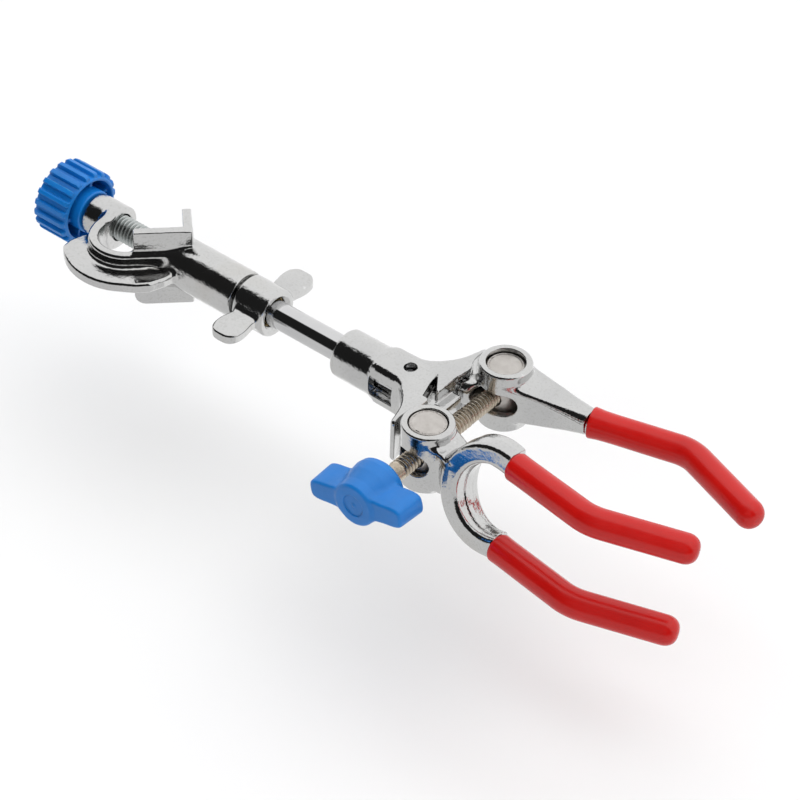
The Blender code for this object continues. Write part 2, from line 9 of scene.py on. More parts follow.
import bpy
import numpy as np
from mathutils import Matrix, Vector


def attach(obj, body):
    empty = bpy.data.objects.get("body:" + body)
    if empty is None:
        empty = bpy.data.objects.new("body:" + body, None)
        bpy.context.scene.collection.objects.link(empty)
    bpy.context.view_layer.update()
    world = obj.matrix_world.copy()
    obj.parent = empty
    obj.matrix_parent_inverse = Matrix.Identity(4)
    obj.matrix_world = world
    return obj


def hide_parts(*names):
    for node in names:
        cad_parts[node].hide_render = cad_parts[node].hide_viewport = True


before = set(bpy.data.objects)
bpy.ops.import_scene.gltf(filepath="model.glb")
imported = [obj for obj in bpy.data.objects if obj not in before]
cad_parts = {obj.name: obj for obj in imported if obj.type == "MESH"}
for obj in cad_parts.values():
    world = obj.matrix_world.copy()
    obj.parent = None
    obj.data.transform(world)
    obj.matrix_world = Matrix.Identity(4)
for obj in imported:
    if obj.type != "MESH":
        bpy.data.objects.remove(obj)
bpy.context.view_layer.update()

MM = 0.001
ROOT_HALF = math.sqrt(0.5)

# Places and sizes in millimetres that more than one piece needs.
HOOK = (-8.0, -6.5)           # middle of the boss head's hook
ROD_R = 4.0
HUB_X, HUB_Y = 113.0, 16.9    # axes of the finger hubs
SCREW_X = HUB_X - 0.6         # axis of the finger screw
PIVOT_X, PIVOT_Y = 104.2, 9.3
TWIST = math.radians(13.0)    # of the fork about its own middle line
FORK_Y = -20.5
LOOP_R = 13.45
HALF_SPAN = 12.9              # from the fork's middle line to each of its prongs
PRONG_R = 3.1
SLEEVE_R, SLEEVE_BORE_R = 4.2, 3.32
SLEEVE_SIDES = 56
SCREW_PITCH = 1.25

# Studio, in metres.
FLOOR_Z = -0.056
FLOOR_REACH = 6.0
LIT_SIDE = (0.0, 0.985, 0.174)
LIT, UNLIT, BELOW, BACKDROP = 1.0, 0.016, 0.72, 0.92
CAMERA_AT = (0.5370, -0.5641, 0.6122)
CAMERA_BACK = (0.4713, -0.5943, 0.6517)
CAMERA_ROLL = math.radians(1.90)
LENS, SENSOR = 153.5, 36.0
LAMPS_AIM = (0.08, 0.0, 0.0)


# ------------------------------------------------------------------------ fields, in millimetres
def smin(a, b, k):
    """Union with a fillet of about size k."""
    h = np.maximum(k - np.abs(a - b), 0.0) / k
    return np.minimum(a, b) - h * h * k * 0.25


def smax(a, b, k):
    return -smin(-a, -b, k)


def cut(body, tool, k=0.3):
    return smax(body, -tool, k)


def rounded(a, b, edge):
    """Intersection of two fields with a rounded edge."""
    a, b = a + edge, b + edge
    return np.minimum(np.maximum(a, b), 0.0) + np.hypot(np.maximum(a, 0.0), np.maximum(b, 0.0)) - edge


def between(value, low, high):
    return np.abs(value - (low + high) / 2) - (high - low) / 2


def cylinder(p, axis, low, high, radius, edge=0.3, centre=(0.0, 0.0)):
    u, v = [p[i] for i in range(3) if i != axis]
    return rounded(np.hypot(u - centre[0], v - centre[1]) - radius, between(p[axis], low, high), edge)


def box(p, low, high, edge=0.3):
    plan = rounded(between(p[0], low[0], high[0]), between(p[1], low[1], high[1]), edge)
    return rounded(plan, between(p[2], low[2], high[2]), edge)


def segment(x, y, a, b):
    """Distance in a plane to the segment from a to b."""
    ex, ey = b[0] - a[0], b[1] - a[1]
    t = np.clip(((x - a[0]) * ex + (y - a[1]) * ey) / (ex * ex + ey * ey), 0.0, 1.0)
    return np.hypot(x - a[0] - t * ex, y - a[1] - t * ey)


def arc(x, y, centre, radius, start, end):
    """Distance in a plane to an arc, in degrees from start to end."""
    dx, dy = x - centre[0], y - centre[1]
    turn = np.degrees(np.arctan2(dy, dx)) % 360.0
    tips = []
    for degrees in (start, end):
        a = math.radians(degrees)
        tips.append(np.hypot(dx - radius * math.cos(a), dy - radius * math.sin(a)))
    on_arc = np.abs(np.hypot(dx, dy) - radius)
    return np.where((turn >= start) & (turn <= end), on_arc, np.minimum(*tips))


def outline(x, y, points):
    """Signed distance in a plane to a closed outline."""
    best, inside = np.inf, False
    for i, (bx, by) in enumerate(points):
        ax, ay = points[i - 1]
        best = np.minimum(best, segment(x, y, (ax, ay), (bx, by)))
        if ay != by:
            crossing = ((ay <= y) != (by <= y)) & (x < ax + (y - ay) * (bx - ax) / (by - ay))
            inside = inside ^ crossing
    return np.where(inside, -best, best)


def soften(points, times=3):
    """Cuts the corners of a closed outline, again and again, so that it reads as a smooth curve."""
    points = np.array(points, float)
    for _ in range(times):
        after = np.roll(points, -1, axis=0)
        pair = np.stack([points * 0.75 + after * 0.25, points * 0.25 + after * 0.75], axis=1)
        points = pair.reshape(-1, 2)
    return [tuple(q) for q in points]


def mirror_y(points):
    return list(points) + [(x, -y) for x, y in reversed(points)]


# ------------------------------------------------------------------------------ meshes from fields
def slope(field, points, step):
    """Gradient of a field at the points."""
    out = np.empty_like(points)
    for axis in range(3):
        shift = np.zeros(3)
        shift[axis] = step
        ahead, behind = points + shift, points - shift
        out[:, axis] = (field(tuple(ahead.T)) - field(tuple(behind.T))) / (2 * step)
    return out


def nets(values, cell, origin):
    """Surface nets: one vertex in each cell that the surface crosses, one quad for each crossed edge."""
    inside = values < 0
    nx, ny, nz = values.shape
    counts = sum(
        inside[i:nx - 1 + i, j:ny - 1 + j, k:nz - 1 + k].astype(np.int8)
        for i in (0, 1) for j in (0, 1) for k in (0, 1)
    )
    mixed = (counts > 0) & (counts < 8)
    cells = np.argwhere(mixed)
    index = np.full(mixed.shape, -1, np.int64)
    index[mixed] = np.arange(len(cells))
    total, hits = np.zeros((len(cells), 3)), np.zeros(len(cells))
    for axis in range(3):
        others = [i for i in range(3) if i != axis]
        for a in (0, 1):
            for b in (0, 1):
                start = np.zeros(3, int)
                start[others[0]], start[others[1]] = a, b
                end = start.copy()
                end[axis] = 1
                first = values[tuple((cells + start).T)]
                second = values[tuple((cells + end).T)]
                crossed = (first < 0) != (second < 0)
                share = np.where(crossed, first / np.where(crossed, first - second, 1.0), 0.0)
                total += crossed[:, None] * (start + (end - start) * share[:, None])
                hits += crossed
    points = (cells + total / hits[:, None]) * cell + origin
    quads = []
    for axis in range(3):
        u, v = (axis + 1) % 3, (axis + 2) % 3
        low, high = [slice(None)] * 3, [slice(None)] * 3
        low[axis], high[axis] = slice(None, -1), slice(1, None)
        one, two = inside[tuple(low)], inside[tuple(high)]
        edges = np.argwhere(one != two)
        keep = (edges[:, u] > 0) & (edges[:, v] > 0)
        edges = edges[keep]
        ring = []
        for du, dv in ((-1, -1), (0, -1), (0, 0), (-1, 0)):
            place = edges.copy()
            place[:, u] += du
            place[:, v] += dv
            ring.append(index[tuple(place.T)])
        ring = np.stack(ring, axis=1)
        outward = one[tuple(edges.T)]
        ring[~outward] = ring[~outward][:, ::-1]
        quads.append(ring)
    return points, np.concatenate(quads)


def skin(name, field, low, high, cell=0.36):
    """Skins a field inside a box, moves the vertices onto the surface and keeps its exact normals."""
    axes = [np.arange(a - 2 * cell, b + 3 * cell, cell) for a, b in zip(low, high)]
    grid = (axes[0][:, None, None], axes[1][None, :, None], axes[2][None, None, :])
    values = np.zeros([len(a) for a in axes]) + field(grid)
    values[values == 0] = 1e-6
    points, quads = nets(values, cell, np.array([a[0] for a in axes]))
    for _ in range(4):
        gradient = slope(field, points, 0.05)
        steep = np.maximum((gradient ** 2).sum(axis=1), 0.2)
        step = gradient * (field(tuple(points.T)) / steep)[:, None]
        points -= np.clip(step, -cell / 2, cell / 2)
    gradient = slope(field, points, 0.06)
    normals = gradient / np.maximum(np.linalg.norm(gradient, axis=1), 1e-9)[:, None]
    return mesh_object(name, points, quads, normals)


def mesh_object(name, points, faces, normals=None):
    mesh = bpy.data.meshes.new(name)
    mesh.from_pydata((np.asarray(points) * MM).tolist(), [], [list(map(int, f)) for f in faces])
    mesh.validate()
    mesh.shade_smooth()
    if normals is not None and len(mesh.vertices) == len(normals):
        mesh.normals_split_custom_set_from_vertices(normals.tolist())
    made = bpy.data.objects.new(name, mesh)
    bpy.context.scene.collection.objects.link(made)
    return made


def sheet_mesh(name, rings, loop=False):
    """Skins a row of equal rings of points; the ends meet in a loop, or close on their middle points."""
    count = len(rings[0])
    points = [tuple(q) for ring in rings for q in ring]
    faces = []
    for r in range(len(rings) if loop else len(rings) - 1):
        for i in range(count):
            j = (i + 1) % count
            a, b = r * count, (r + 1) % len(rings) * count
            faces.append((a + i, a + j, b + j, b + i))
    if not loop:
        for ring, base, flip in ((rings[0], 0, True), (rings[-1], (len(rings) - 1) * count, False)):
            points.append(tuple(np.mean(np.array(ring), axis=0)))
            tip = len(points) - 1
            for i in range(count):
                j = (i + 1) % count
                faces.append((base + j, base + i, tip) if flip else (base + i, base + j, tip))
    return mesh_object(name, points, faces)


def turned(name, profile, axis=0, centre=(0.0, 0.0, 0.0), segments=72, wave=None, loop=False):
    """Turns (place, radius) points about an axis; wave(place, angle) may change the radius."""
    u, v = (axis + 1) % 3, (axis + 2) % 3
    rings = []
    for place, radius in profile:
        ring = []
        for i in range(segments):
            angle = 2 * math.pi * i / segments
            r = radius + (wave(place, angle) if wave else 0.0)
            q = list(centre)
            q[axis] += place
            q[u] += r * math.cos(angle)
            q[v] += r * math.sin(angle)
            ring.append(q)
        rings.append(ring)
    return sheet_mesh(name, rings, loop)


def eased(profile, edge=0.25, steps=3):
    """Rounds the corners of a profile of (place, radius) points."""
    out = [profile[0]]
    for a, b, c in zip(profile, profile[1:], profile[2:]):
        a, b, c = Vector(a), Vector(b), Vector(c)
        reach = min(edge, (a - b).length / 2.2, (c - b).length / 2.2)
        start, end = b + (a - b).normalized() * reach, b + (c - b).normalized() * reach
        for i in range(steps + 1):
            t = i / steps
            out.append(tuple(start * (1 - t) ** 2 + b * 2 * t * (1 - t) + end * t * t))
    out.append(profile[-1])
    return out


# -------------------------------------------------------------------------------------- boss head
def boss_head(p):
    x, y, z = p
    tube = cylinder(p, 0, 2.0, 32.2, 7.5, 0.7)
    tube = cut(tube, (x + np.abs(y) - 9.2) * ROOT_HALF, 0.3)
    along_hook = -(x - 12.44) * ROOT_HALF - y * ROOT_HALF
    along_free = -(x - 12.44) * ROOT_HALF + y * ROOT_HALF

    def plate(along, depth, reach):
        """One leg of the V, with its lower corner rounded more than its upper one."""
        face = rounded(along - reach, np.abs(z) - 13.0, np.where(z < 0, 3.4, 0.7))
        return rounded(face, between(depth, 0.0, 2.8), 0.4)

    vee = np.minimum(plate(along_hook, along_free, 17.2), plate(along_free, along_hook, 11.4))
    vee = smax(vee, smax(-along_hook, -along_free, 0.6), 0.6)
    body = smin(tube, vee, 1.0)

    band = np.minimum(arc(x, y, HOOK, 9.5, 180.0, 315.0), segment(x, y, (-1.28, -13.22), (7.9, -4.04)))
    band = np.minimum(band, segment(x, y, (-17.5, -6.5), (-17.5, -3.0))) - 1.5
    hook = rounded(band, np.abs(z) - 5.8, 1.1)
    rim = [(-18.4, -3.4), (-19.4, -8.2), (-21.2, -12.0), (-22.1, -15.6)]
    rim += [(HOOK[0] + 18.3 * math.cos(math.radians(a)), HOOK[1] + 18.3 * math.sin(math.radians(a)))
            for a in range(222, 301, 6)]
    rim += [(6.6, -18.8), (9.6, -15.6), (11.3, -11.0), (12.2, -5.5)]
    rim += [(HOOK[0] + 9.5 * math.cos(math.radians(a)), HOOK[1] + 9.5 * math.sin(math.radians(a)))
            for a in range(315, 194, -8)]
    flange = rounded(outline(x, y, rim), np.abs(z) - 1.7, 1.0)
    hook = smin(hook, flange, 1.8)
    body = smin(body, hook, 1.5)
    boss = cylinder(p, 0, -26.2, -15.9, 6.4, 0.5)
    body = smin(body, boss, 2.2)
    pip = np.sqrt((x + 19.6) ** 2 + (y + 6.4) ** 2 + (z - 1.5) ** 2) - 1.5
    body = smin(body, pip, 0.4)

    neck = cylinder(p, 0, 20.0, 39.6, 5.6, 0.3)
    groove = 0.16 * np.cos(2 * np.pi * x) * (np.hypot(y, z) > 4.9)
    body = np.minimum(body, neck + np.maximum(groove, 0.0))
    body = cut(body, cylinder(p, 0, -40.0, -10.0, 4.2, 0.2), 0.5)
    body = cut(body, cylinder(p, 0, 30.2, 50.0, 4.35, 0.2), 0.4)
    return cut(body, cylinder(p, 0, 16.0, 30.2, 5.4, 0.2), 0.1)


def boss_knob(p):
    x, y, z = p
    rho, theta = np.hypot(y, z), np.arctan2(z, y)
    wave = np.clip(0.45 + 1.5 * np.cos(20 * theta), 0.0, 1.0)
    wave = wave * wave * (3 - 2 * wave)
    bars = rounded(rho - 11.6, between(x, -40.8, -28.9), 1.1)
    barrel = rounded(rho - 10.35, between(x, -41.0, -28.5), 0.7)
    body = barrel + (np.minimum(bars, barrel) - barrel) * wave
    body = cut(body, rounded(rho - 9.2, -37.0 - x, 0.8), 0.6)
    hub = rounded(rho - 6.6, between(x, -38.0, -26.9), 0.5)
    body = smin(body, hub, 0.6)
    for i in range(3):
        a = math.radians(60 * i + 8)
        side = np.abs(z * math.cos(a) - y * math.sin(a)) - 0.5
        web = rounded(rounded(side, rho - 9.6, 0.2), between(x, -38.0, -30.5), 0.2)
        body = smin(body, web, 0.5)
    dish = rounded(rho - 7.6, x + 40.5, 0.3)
    body = cut(body, dish, 0.6)
    return cut(body, cylinder(p, 0, -37.9, -20.0, 4.2, 0.2), 0.4)


def wing_nut(p):
    x, y, z = p
    body = cylinder(p, 0, 33.1, 44.3, 7.33, 0.9)
    half = [(42.7, 0.0), (42.7, 6.0), (43.0, 9.0), (43.9, 12.6), (43.6, 16.4), (41.6, 18.55), (39.0, 18.75),
            (36.2, 18.5), (34.3, 16.2), (34.2, 12.6), (35.0, 9.0), (35.1, 6.0), (35.1, 0.0)]
    other = [(77.8 - a, -b) for a, b in half[1:-1]]
    wings = rounded(outline(x, y, soften(half + other, 2)), np.abs(z) - 1.6, 0.8)
    body = smin(body, wings, 1.8)
    body = cut(body, cylinder(p, 0, 20.0, 42.6, 5.95, 0.1), 0.2)
    body = cut(body, cylinder(p, 0, 20.0, 50.0, 4.45, 0.1), 0.3)
    return cut(body, rounded(np.hypot(y, z) - 5.6 - 1.1 * (x - 44.3), 43.1 - x, 0.1), 0.3)


# -------------------------------------------------------------------------------------- clamp head
def clamp_head(p):
    x, y, z = p
    socket = cylinder(p, 0, 69.4, 99.0, 7.3, 1.3)
    flare = [(82.0, 6.0), (90.0, 6.1), (93.6, 6.4), (97.2, 8.9), (100.2, 12.6), (101.7, 17.0), (102.6, 21.0),
             (105.6, 20.4), (108.5, 14.0), (109.5, 8.0), (109.5, 3.0)]
    plan = outline(x, y, soften(mirror_y(flare), 2))
    yoke = rounded(plan, np.abs(z) - 7.2, np.interp(x, [92.0, 100.0], [2.4, 1.4]))
    for way in (1, -1):
        yoke = smax(yoke, 9.3 - np.hypot(x - HUB_X, y - way * HUB_Y), 0.5)
    yoke = smax(yoke, x - 104.9 - 0.2 * np.maximum(y - 6.0, 0.0), 0.9)
    body = smin(socket, yoke, 1.6)
    notch = outline(x, y, [(100.3, 2.8), (101.0, -1.1), (102.8, -6.5), (112.0, -6.6), (112.0, -2.8),
                           (104.4, -2.8)])
    body = cut(body, rounded(notch, 3.25 - z, 0.3), 0.7)
    body = smin(body, box(p, (98.0, -3.9, -3.2), (108.3, 3.9, 3.2), 0.7), 0.8)
    for way in (1, -1):
        room = np.hypot(np.minimum(x - PIVOT_X + 1.9, 0.0), np.abs(y - way * PIVOT_Y)) - 4.0
        body = cut(body, rounded(room, np.abs(z) - 4.6, 1.0), 0.6)
        near, far = sorted((way * 3.2, way * 14.0))
        window = box(p, (83.7, near, -3.2), (91.9, far, 3.2), 0.4)
        body = cut(body, window, 0.5)
        body = cut(body, cylinder(p, 2, -12.0, 6.0, 1.6, 0.1, (PIVOT_X, way * PIVOT_Y)), 0.2)
    body = cut(body, cylinder(p, 0, 60.0, 96.9, 4.3, 0.2), 0.4)
    return cut(body, cylinder(p, 2, -12.0, 12.0, 1.85, 0.1, (93.0, 0.0)), 0.5)


# ----------------------------------------------------------------------------------------- fingers
def hub(p, way):
    """A finger's hub and tail, before its holes are cut."""
    x, y, z = p
    body = cylinder(p, 2, -9.6, 10.1, 7.53, 0.75, (HUB_X, way * HUB_Y))
    along = np.hypot(np.maximum(np.abs(x - PIVOT_X) - 0.9, 0.0), y - way * PIVOT_Y) - 3.15
    knuckle = rounded(along, np.abs(z) - 4.0, 2.9)
    neck = rounded(segment(x, y, (PIVOT_X + 1.6, way * (PIVOT_Y + 1.4)), (HUB_X, way * HUB_Y)) - 2.6,
                   np.abs(z) - 3.9, 1.2)
    return smin(body, smin(knuckle, neck, 0.8), 1.0)


def cut_hub(p, body, way):
    x, y, z = p
    body = cut(body, cylinder(p, 2, -12.0, 13.0, 5.6, 0.1, (HUB_X, way * HUB_Y)), 0.35)
    middle, reach = (1.15, 2.95) if way > 0 else (-0.05, 1.75)
    slot = np.hypot(np.maximum(np.abs(x - HUB_X - middle) - reach, 0.0), z) - 3.5
    body = cut(body, rounded(slot, np.abs(y - way * HUB_Y) - 12.0, 0.1), 0.6)
    ride = np.hypot(np.maximum(np.abs(x - PIVOT_X) - 1.3, 0.0), y - way * PIVOT_Y) - 1.65
    return cut(body, rounded(ride, between(z, -8.0, 2.9), 0.1), 0.3)


def bent(points, radius=12.0, steps=7):
    """A polyline with its corners rounded, as points."""
    points = [Vector(q) for q in points]
    out = [points[0]]
    for before, corner, after in zip(points, points[1:], points[2:]):
        a, b = (before - corner).normalized(), (after - corner).normalized()
        half = a.angle(b) / 2
        middle = corner + (a + b).normalized() * (radius / math.sin(half))
        start = corner + a * (radius / math.tan(half)) - middle
        end = corner + b * (radius / math.tan(half)) - middle
        out += [middle + start.lerp(end, i / steps).normalized() * radius for i in range(steps + 1)]
    return out + [points[-1]]


def twisted(q):
    """Where a place on the fork stands after the fork's twist."""
    a = -TWIST
    y, z = q[1] - FORK_Y, q[2]
    return (q[0], FORK_Y + y * math.cos(a) - z * math.sin(a), y * math.sin(a) + z * math.cos(a))


def prong_line(height):
    flat = bent([(143.6, -20.9, height), (171.8, -26.0, height), (195.2, -15.7, height)])
    return [Vector(twisted(q)) for q in flat]


SINGLE = bent([(138.0, 21.2, 0.0), (167.6, 29.3, 0.0), (193.4, 20.0, 0.0)])
SINGLE_COVERED = [SINGLE[0].lerp(SINGLE[1], 1.7 / (SINGLE[1] - SINGLE[0]).length)] + SINGLE[1:]
DOUBLE = {"upper": prong_line(HALF_SPAN), "lower": prong_line(-HALF_SPAN)}


def bar(p, path, radius):
    """A round bar along a path."""
    best = np.inf
    for a, b in zip(path, path[1:]):
        e = b - a
        t = np.clip(sum((p[i] - a[i]) * e[i] for i in range(3)) / e.length_squared, 0.0, 1.0)
        best = np.minimum(best, sum((p[i] - a[i] - t * e[i]) ** 2 for i in range(3)))
    return np.sqrt(best) - radius


def root_of(path, start):
    """The bit of prong that shows, from start to just inside its sleeve."""
    return [Vector(start), path[0] + (path[1] - path[0]).normalized() * 0.3]


def finger_single(p):
    x, y, z = p
    body = hub(p, 1)
    middle = np.interp(x, [HUB_X, 126.0, 139.5], [17.2, 19.4, 21.5])
    wide = np.interp(x, [HUB_X, 117.0, 126.0, 133.0, 139.5], [6.8, 6.5, 4.9, 4.05, 3.6])
    high = np.interp(x, [HUB_X, 117.0, 126.0, 133.0, 139.5], [7.0, 6.9, 5.5, 4.4, 3.6])
    tilt = 0.10 * (y - middle)
    edge = np.interp(x, [HUB_X, 128.0, 138.0], [0.9, 1.3, 2.6])
    section = rounded(np.abs(y - middle) - wide, np.abs(z) - high + np.abs(tilt), edge)
    web = rounded(section, between(x, HUB_X, 139.6), 0.3)
    body = smin(body, web, 1.8)
    body = smin(body, bar(p, root_of(SINGLE_COVERED, (134.0, 20.3, 0.0)), PRONG_R), 0.6)
    return cut_hub(p, body, 1)


def finger_double(p):
    x, y, z = p
    body = hub(p, -1)
    a = TWIST
    ty = FORK_Y + (y - FORK_Y) * math.cos(a) - z * math.sin(a)
    tz = (y - FORK_Y) * math.sin(a) + z * math.cos(a)
    middle = np.interp(x, [HUB_X, 120.0, 126.0], [-17.0, -17.0, -18.6])
    wide = np.interp(x, [HUB_X, 118.0, 125.0, 128.5], [6.7, 5.6, 4.9, 3.9])
    high = np.interp(x, [HUB_X, 122.0, 127.5], [7.0, 6.9, 5.6])
    low = np.interp(x, [HUB_X, 119.0, 127.5], [8.6, 8.0, 5.6])
    tall = np.maximum(z - high, -z - low)
    web = rounded(rounded(np.abs(y - middle) - wide, tall, 1.0), between(x, HUB_X, 127.6), 1.6)
    body = smin(body, web, 2.0)
    dx, dz = (x - 139.4) / 13.2 * LOOP_R, (tz - 0.7) / 13.7 * LOOP_R
    turn = np.arctan2(np.abs(dz), -dx)
    bulk = (1 + np.cos(turn)) / 2
    shift = 1.3 * bulk * bulk
    side = np.abs(ty - FORK_Y - shift)
    radial = np.hypot(dx, dz) - LOOP_R
    land = np.clip((1.9 - side) / 0.5, 0.0, 1.0)
    thick = 3.1 + 0.1 * bulk - 0.06 * side + 0.4 * land * (3 - 2 * land) * land * (radial < 0)
    loop = rounded(np.abs(radial) - thick, side - (3.3 + 0.95 * bulk + shift), 1.5)
    loop = smax(loop, x - 143.3, 0.5)
    body = smin(body, loop, 2.2)
    for name, way in (("upper", 1), ("lower", -1)):
        start = twisted((139.5, FORK_Y, way * HALF_SPAN))
        body = smin(body, bar(p, root_of(DOUBLE[name], start), PRONG_R), 1.2)
    return cut_hub(p, body, -1)


def wing_knob(p):
    x, y, z = p
    rho = np.hypot(x - SCREW_X, z)
    radius = np.interp(y, [-47.4, -46.6, -44.0, -40.5, -37.5, -35.6, -34.0],
                       [6.35, 6.6, 6.95, 8.0, 8.4, 8.1, 6.6])
    body = rounded(rho - radius, between(y, -47.4, -34.0), 0.8)
    tilt = math.radians(12.0)
    u = (x - SCREW_X) * math.cos(tilt) + z * math.sin(tilt)
    w = -(x - SCREW_X) * math.sin(tilt) + z * math.cos(tilt)
    half = [(16.4, 1.6), (15.5, 3.0), (13.0, 3.6), (9.0, 3.5), (4.0, 4.2), (0.0, 4.4)]
    top = half + [(-a, b) for a, b in reversed(half[:-1])]
    shape = outline(u, w, soften(top + [(-a, -b) for a, b in top], 2))
    plate = rounded(shape + 0.04 * (-37.0 - y), between(y, -46.8, -37.2), 0.9)
    body = smin(body, plate, 1.0)
    recess = rounded(rho - 3.3, y + 47.05, 0.2)
    body = cut(body, recess, 0.25)
    nub = np.sqrt((x - SCREW_X) ** 2 + z ** 2 + (y + 46.6) ** 2) - 0.75
    body = smin(body, nub, 0.3)
    return cut(body, cylinder(p, 1, -45.3, -20.0, 3.2, 0.1, (SCREW_X, 0.0)), 0.4)


# ------------------------------------------------------------------------- screws, rod and sleeves
def thread(place, angle, depth, hand):
    """Change of radius on a thread, from 0 at its crest to -depth; hand is 1 for a right-hand one."""
    turn = (place / SCREW_PITCH - hand * angle / (2 * math.pi)) % 1.0
    return -depth * (0.5 - 0.5 * math.cos(2 * math.pi * turn)) ** 1.3


def fine_steps(low, high):
    """Places close enough together to show a thread, twelve in each turn of it."""
    count = int(round((high - low) / SCREW_PITCH * 12))
    return [low + (high - low) * i / count for i in range(count + 1)]


def boss_screw():
    low, high = -30.0, -7.0
    profile = [(-37.6, 0.3), (-37.5, 3.6), (-30.6, 3.6)]
    profile += [(q, 3.85) for q in fine_steps(low, high)]
    profile += [(-6.6, 3.4), (-5.9, 2.9), (-5.85, 1.6), (-3.95, 1.45)]

    def wave(place, angle):
        if not low <= place <= high:
            return 0.0
        fade = min(1.0, (place - low) / 1.2, (high - place) / 1.2)
        return thread(place, angle, 0.7, 1) * fade

    return turned("boss_screw_look", profile, wave=wave, segments=48)


def finger_screw():
    """Right-hand thread on the knob's side and a slightly thinner left-hand one beyond the middle."""
    middle = 1.0
    profile = [(-44.95, 0.3), (-44.8, 2.66), (-29.2, 2.66), (-28.9, 2.88)]
    profile += [(q, 2.88) for q in fine_steps(-28.4, middle - 1.2)]
    profile += [(middle - 0.9, 2.3), (middle - 0.1, 2.3)]
    profile += [(q, 2.75) for q in fine_steps(middle + 0.2, 24.6)]
    profile += [(25.2, 2.1), (25.45, 1.6)]

    def wave(place, angle):
        if -28.4 <= place <= middle - 1.2:
            fade = min(1.0, (place + 28.4) / 0.8, (middle - 1.2 - place) / 0.5)
            return thread(place, angle, 0.62, 1) * max(fade, 0.0)
        if middle + 0.2 <= place <= 24.6:
            fade = min(1.0, (place - middle - 0.2) / 0.5, (24.6 - place) / 0.8)
            return thread(place, angle, 0.6, -1) * max(fade, 0.0)
        return 0.0

    return turned("finger_screw_look", profile, 1, (SCREW_X, 0.0, 0.0), 48, wave)


def sleeve(name, path, flare):
    """A dipped vinyl sleeve: a thin wall with a rolled lip, thicker towards its closed tip."""
    outer_r, inner_r = SLEEVE_R, SLEEVE_BORE_R
    angles = [2 * math.pi * i / SLEEVE_SIDES for i in range(SLEEVE_SIDES)]
    lengths = [0.0]
    for a, b in zip(path, path[1:]):
        lengths.append(lengths[-1] + (b - a).length)

    def at(s):
        s = min(max(s, 0.0), lengths[-1])
        i = min(max(i for i, v in enumerate(lengths) if v <= s), len(path) - 2)
        t = (s - lengths[i]) / (lengths[i + 1] - lengths[i])
        return path[i].lerp(path[i + 1], t)

    def frame_at(s):
        forward = (at(s + 1.2) - at(s - 1.2)).normalized()
        across = Vector((0, 0, 1)).cross(forward).normalized()
        return at(s), forward, across, forward.cross(across)

    total = lengths[-1]
    stops = [(3.5, inner_r * 0.5), (3.5, inner_r), (0.5, inner_r), (0.12, inner_r + 0.12),
             (0.0, inner_r + 0.35), (0.05, outer_r - 0.3), (0.35, outer_r - 0.12), (1.2, outer_r - 0.1)]
    stops += [(s, outer_r - 0.12 * math.exp(-s / 14.0)) for s in np.linspace(2.2, total - 0.05, 90)]
    rings = []
    for s, r in stops:
        centre, _, across, up = frame_at(s)
        r += flare * math.exp(-s / 2.5)
        rings.append([centre + (across * math.cos(a) + up * math.sin(a)) * r for a in angles])
    centre, forward, across, up = frame_at(total)
    for degrees in range(5, 90, 5):
        a = math.radians(degrees)
        middle = centre + forward * outer_r * 0.96 * math.sin(a)
        r = outer_r * math.cos(a) ** 0.72
        rings.append([middle + (across * math.cos(b) + up * math.sin(b)) * r for b in angles])
    return sheet_mesh(name, rings)


def barrel_nut(way, top):
    def field(p):
        x, y, z = p
        body = cylinder(p, 2, -9.2, top, 5.3, 0.35, (HUB_X, way * HUB_Y))
        rho = np.hypot(x - HUB_X, y - way * HUB_Y)
        body = cut(body, rounded(np.abs(rho - 4.75) - 0.16, top - 0.12 - z, 0.05), 0.15)
        return cut(body, cylinder(p, 1, -40.0, 40.0, 2.9, 0.1, (SCREW_X, 0.0)), 0.4)

    return field


def pin(name, low, high, radius, x, y):
    profile = [(low, radius * 0.5), (low, radius), (high, radius), (high + 0.02, radius * 0.5)]
    return turned(name, eased(profile, 0.3), 2, (x, y, 0.0), 40)


def ring_piece(name, low, high, inner, outer):
    flat = [(low, outer - 0.12), (low + 0.12, outer), (high - 0.12, outer), (high, outer - 0.12),
            (high, inner + 0.12), (high - 0.12, inner), (low + 0.12, inner), (low, inner + 0.12)]
    return turned(name, flat, loop=True)


